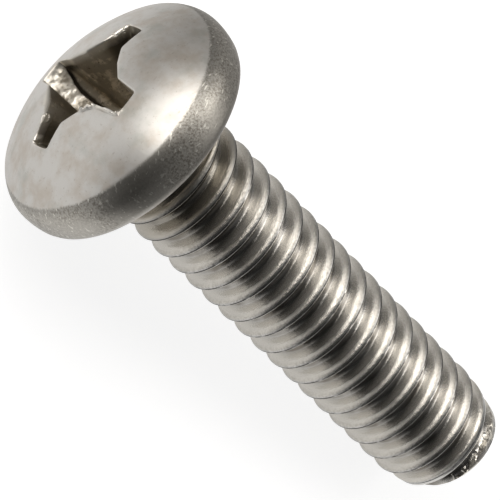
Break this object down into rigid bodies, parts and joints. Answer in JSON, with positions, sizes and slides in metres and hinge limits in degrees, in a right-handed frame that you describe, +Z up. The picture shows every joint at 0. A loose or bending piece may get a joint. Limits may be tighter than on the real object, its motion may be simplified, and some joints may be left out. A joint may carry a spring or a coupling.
{
  "type": "machine screw",
  "caption": "Machine screw with a domed pan head, cross recess and a thread rolled along the whole shank, for a tapped hole or nut.",
  "frame": {"origin": "centre of the bounding box, on the floor that the screw lies on", "axes": "+X along the floor from the head to the tip, +Z up. The screw's own axis dips 7.2 degrees below +X, because the head is wider than the shank and both touch the floor."},
  "size_m": [0.0293, 0.0122, 0.0122],
  "materials": {
    "stainless": "tumbled stainless steel, satin with a slightly grainy shoulder"
  },
  "bodies": {
    "root": {"screw": "stainless"}
  },
  "joints": []
}
